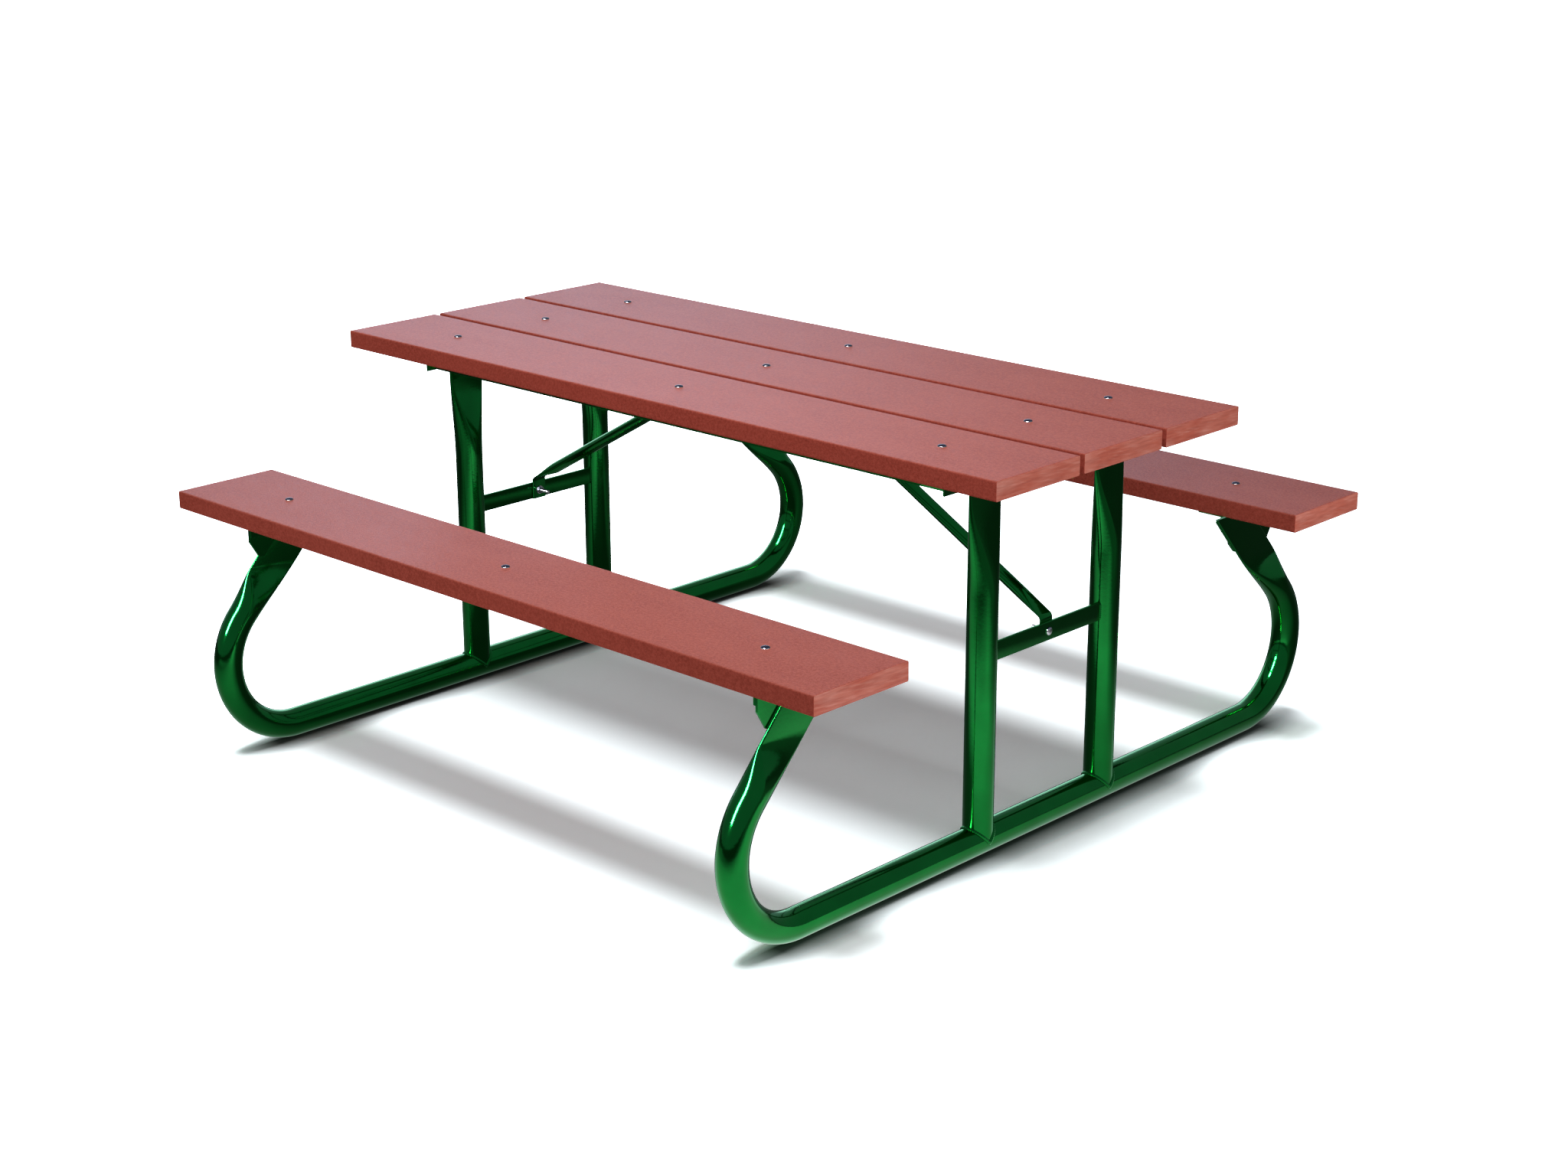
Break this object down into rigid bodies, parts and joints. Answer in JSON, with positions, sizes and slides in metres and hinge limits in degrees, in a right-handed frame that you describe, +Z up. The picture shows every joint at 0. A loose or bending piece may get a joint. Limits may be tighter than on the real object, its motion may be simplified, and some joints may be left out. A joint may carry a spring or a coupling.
{
  "type": "picnic table",
  "caption": "Rectangular picnic table with two attached bench seats: plastic planks bolted to bent tube end frames.",
  "frame": {"origin": "on the ground under the middle of the table", "axes": "+X along the planks, +Y across the table from one seat to the other, +Z up"},
  "size_m": [1.829, 1.7918, 0.8179],
  "materials": {
    "plank_plastic": "fine-grained red-brown recycled plastic",
    "green_frame": "glossy dark green powder coat",
    "zinc_fasteners": "bright zinc plate"
  },
  "bodies": {
    "root": {"bolt_back_left": "zinc_fasteners", "bolt_back_middle": "zinc_fasteners", "bolt_back_right": "zinc_fasteners", "bolt_centre_left": "zinc_fasteners", "bolt_centre_middle": "zinc_fasteners", "bolt_centre_right": "zinc_fasteners", "bolt_front_left": "zinc_fasteners", "bolt_front_middle": "zinc_fasteners", "bolt_front_right": "zinc_fasteners", "bolt_seat_back_left": "zinc_fasteners", "bolt_seat_back_middle": "zinc_fasteners", "bolt_seat_back_right": "zinc_fasteners", "bolt_seat_front_left": "zinc_fasteners", "bolt_seat_front_middle": "zinc_fasteners", "bolt_seat_front_right": "zinc_fasteners", "brace_left": "green_frame", "brace_right": "green_frame", "centre_strap": "green_frame", "cross_angle_left": "green_frame", "cross_angle_right": "green_frame", "frame_tube_left": "green_frame", "frame_tube_right": "green_frame", "long_angle_back": "green_frame", "long_angle_front": "green_frame", "nut_back_left": "zinc_fasteners", "nut_back_middle": "zinc_fasteners", "nut_back_right": "zinc_fasteners", "nut_centre_left": "zinc_fasteners", "nut_centre_middle": "zinc_fasteners", "nut_centre_right": "zinc_fasteners", "nut_front_left": "zinc_fasteners", "nut_front_middle": "zinc_fasteners", "nut_front_right": "zinc_fasteners", "nut_seat_back_left": "zinc_fasteners", "nut_seat_back_right": "zinc_fasteners", "nut_seat_front_left": "zinc_fasteners", "nut_seat_front_right": "zinc_fasteners", "post_left_back": "green_frame", "post_left_front": "green_frame", "post_right_back": "green_frame", "post_right_front": "green_frame", "seat_angle_left_back": "green_frame", "seat_angle_left_front": "green_frame", "seat_angle_right_back": "green_frame", "seat_angle_right_front": "green_frame", "seat_back_plank": "plank_plastic", "seat_front_plank": "plank_plastic", "seat_gusset_left_back": "green_frame", "seat_gusset_left_front": "green_frame", "seat_gusset_right_back": "green_frame", "seat_gusset_right_front": "green_frame", "seat_rail_back": "green_frame", "seat_rail_front": "green_frame", "tie_bar_left": "green_frame", "tie_bar_right": "green_frame", "tie_bolt_left": "zinc_fasteners", "tie_bolt_right": "zinc_fasteners", "top_plank_back": "plank_plastic", "top_plank_centre": "plank_plastic", "top_plank_front": "plank_plastic"}
  },
  "joints": []
}
